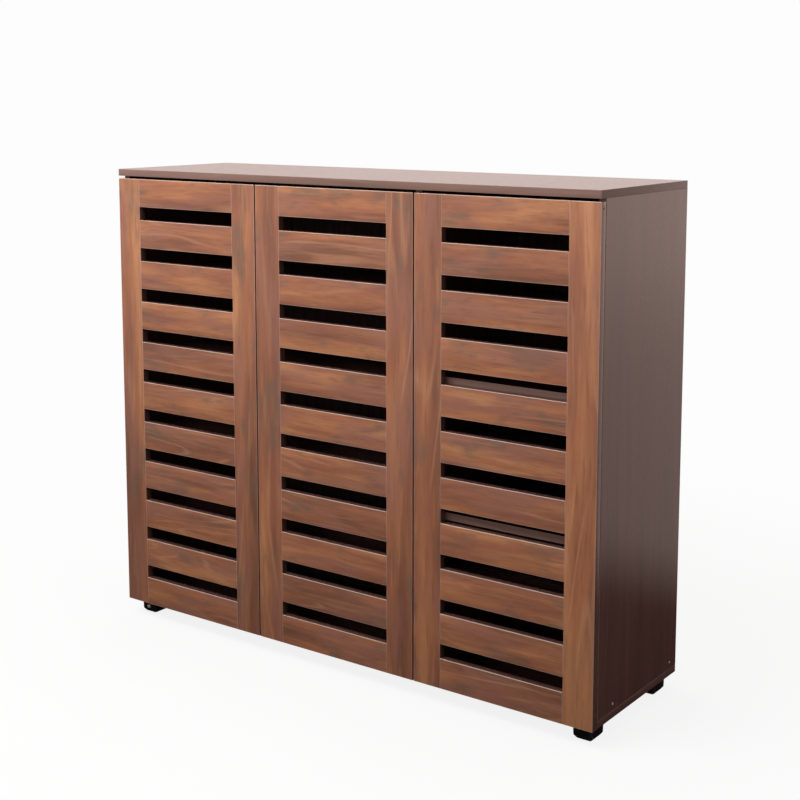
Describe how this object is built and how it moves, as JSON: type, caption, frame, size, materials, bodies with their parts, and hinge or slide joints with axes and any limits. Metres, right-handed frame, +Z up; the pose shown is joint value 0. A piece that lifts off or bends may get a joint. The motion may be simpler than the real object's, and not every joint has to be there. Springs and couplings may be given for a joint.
{
  "type": "shoe cabinet",
  "caption": "Free-standing shoe cabinet with slatted hinged doors, a dividing panel, fixed shelves for shoes and low plastic feet.",
  "frame": {"origin": "on the floor, at the centre of the overall footprint", "axes": "+X along the width, to the right as seen from the front; -Y out of the door fronts; +Z up"},
  "size_m": [1.2, 0.35, 1.02],
  "materials": {
    "walnut_foil": "walnut-look foil over fibreboard, satin, grain along each bar",
    "melamine_board": "dark walnut-look melamine on particle board, satin",
    "hardboard": "bare brown hardboard, matt",
    "black_plastic": "moulded black plastic, lightly textured",
    "plated_steel": "zinc-plated pressed steel",
    "screw_steel": "zinc-plated steel",
    "nickel_steel": "nickel-plated pressed steel, semi-gloss",
    "zinc": "cast zinc, dull",
    "beech": "bare beech with pressed flutes"
  },
  "bodies": {
    "cabinet": {"top_panel": "melamine_board", "bottom_panel": "melamine_board", "side_panel_left": "melamine_board", "side_panel_right": "melamine_board", "partition_panel": "melamine_board", "back_panel_left": "hardboard", "back_panel_right": "hardboard", "shelf_left_1": "melamine_board", "shelf_left_2": "melamine_board", "shelf_left_3": "melamine_board", "shelf_left_4": "melamine_board", "shelf_right_1": "melamine_board", "shelf_right_2": "melamine_board", "shelf_right_3": "melamine_board", "shelf_right_4": "melamine_board", "shelf_right_5": "melamine_board", "shelf_supports": "plated_steel", "foot_front_left": "black_plastic", "foot_front_right": "black_plastic", "foot_rear_left": "black_plastic", "foot_rear_right": "black_plastic", "foot_fixing_screws": "screw_steel", "foot_front_screw": "screw_steel", "cam_bolts": "screw_steel", "cam_locks": "zinc", "carcass_dowels": "beech", "corner_blocks": "black_plastic", "block_screws": "screw_steel", "back_nails": "screw_steel", "hinge_plates": "nickel_steel", "hinge_plate_screws": "screw_steel", "hinge_arms": "nickel_steel", "hinge_arm_screws": "screw_steel"},
    "left_door": {"left_door_hinge_stile": "walnut_foil", "left_door_free_stile": "walnut_foil", "left_door_top_rail": "walnut_foil", "left_door_bottom_rail": "walnut_foil", "left_door_slats": "walnut_foil", "left_door_dowels": "beech", "left_door_hinge_cups": "nickel_steel", "left_door_cup_screws": "screw_steel"},
    "left_links": {"left_hinge_links": "nickel_steel"},
    "middle_door": {"middle_door_hinge_stile": "walnut_foil", "middle_door_free_stile": "walnut_foil", "middle_door_top_rail": "walnut_foil", "middle_door_bottom_rail": "walnut_foil", "middle_door_slats": "walnut_foil", "middle_door_dowels": "beech", "middle_door_hinge_cups": "nickel_steel", "middle_door_cup_screws": "screw_steel"},
    "middle_links": {"middle_hinge_links": "nickel_steel"},
    "right_door": {"right_door_hinge_stile": "walnut_foil", "right_door_free_stile": "walnut_foil", "right_door_top_rail": "walnut_foil", "right_door_bottom_rail": "walnut_foil", "right_door_slats": "walnut_foil", "right_door_dowels": "beech", "right_door_hinge_cups": "nickel_steel", "right_door_cup_screws": "screw_steel"},
    "right_links": {"right_hinge_links": "nickel_steel"}
  },
  "joints": [
    {"name": "left_door_hinge", "type": "hinge", "parent": "cabinet", "child": "left_door", "pos_m": [-0.595, -0.17, 0.518], "axis": [0, 0, -1], "range_deg": [0, 100]},
    {"name": "left_link_pivot", "type": "hinge", "parent": "cabinet", "child": "left_links", "pos_m": [-0.5675, -0.162, 0.518], "axis": [0, 0, -1], "range_deg": [-26, 0]},
    {"name": "middle_door_hinge", "type": "hinge", "parent": "cabinet", "child": "middle_door", "pos_m": [0.194, -0.17, 0.518], "axis": [0, 0, 1], "range_deg": [0, 100]},
    {"name": "middle_link_pivot", "type": "hinge", "parent": "cabinet", "child": "middle_links", "pos_m": [0.1665, -0.162, 0.518], "axis": [0, 0, 1], "range_deg": [-26, 0]},
    {"name": "right_door_hinge", "type": "hinge", "parent": "cabinet", "child": "right_door", "pos_m": [0.595, -0.17, 0.518], "axis": [0, 0, 1], "range_deg": [0, 100]},
    {"name": "right_link_pivot", "type": "hinge", "parent": "cabinet", "child": "right_links", "pos_m": [0.5675, -0.162, 0.518], "axis": [0, 0, 1], "range_deg": [-26, 0]}
  ],
  "couplings": [
    {"joint": "left_link_pivot", "follows": "left_door_hinge", "ratio": -0.26},
    {"joint": "middle_link_pivot", "follows": "middle_door_hinge", "ratio": -0.26},
    {"joint": "right_link_pivot", "follows": "right_door_hinge", "ratio": -0.26}
  ]
}
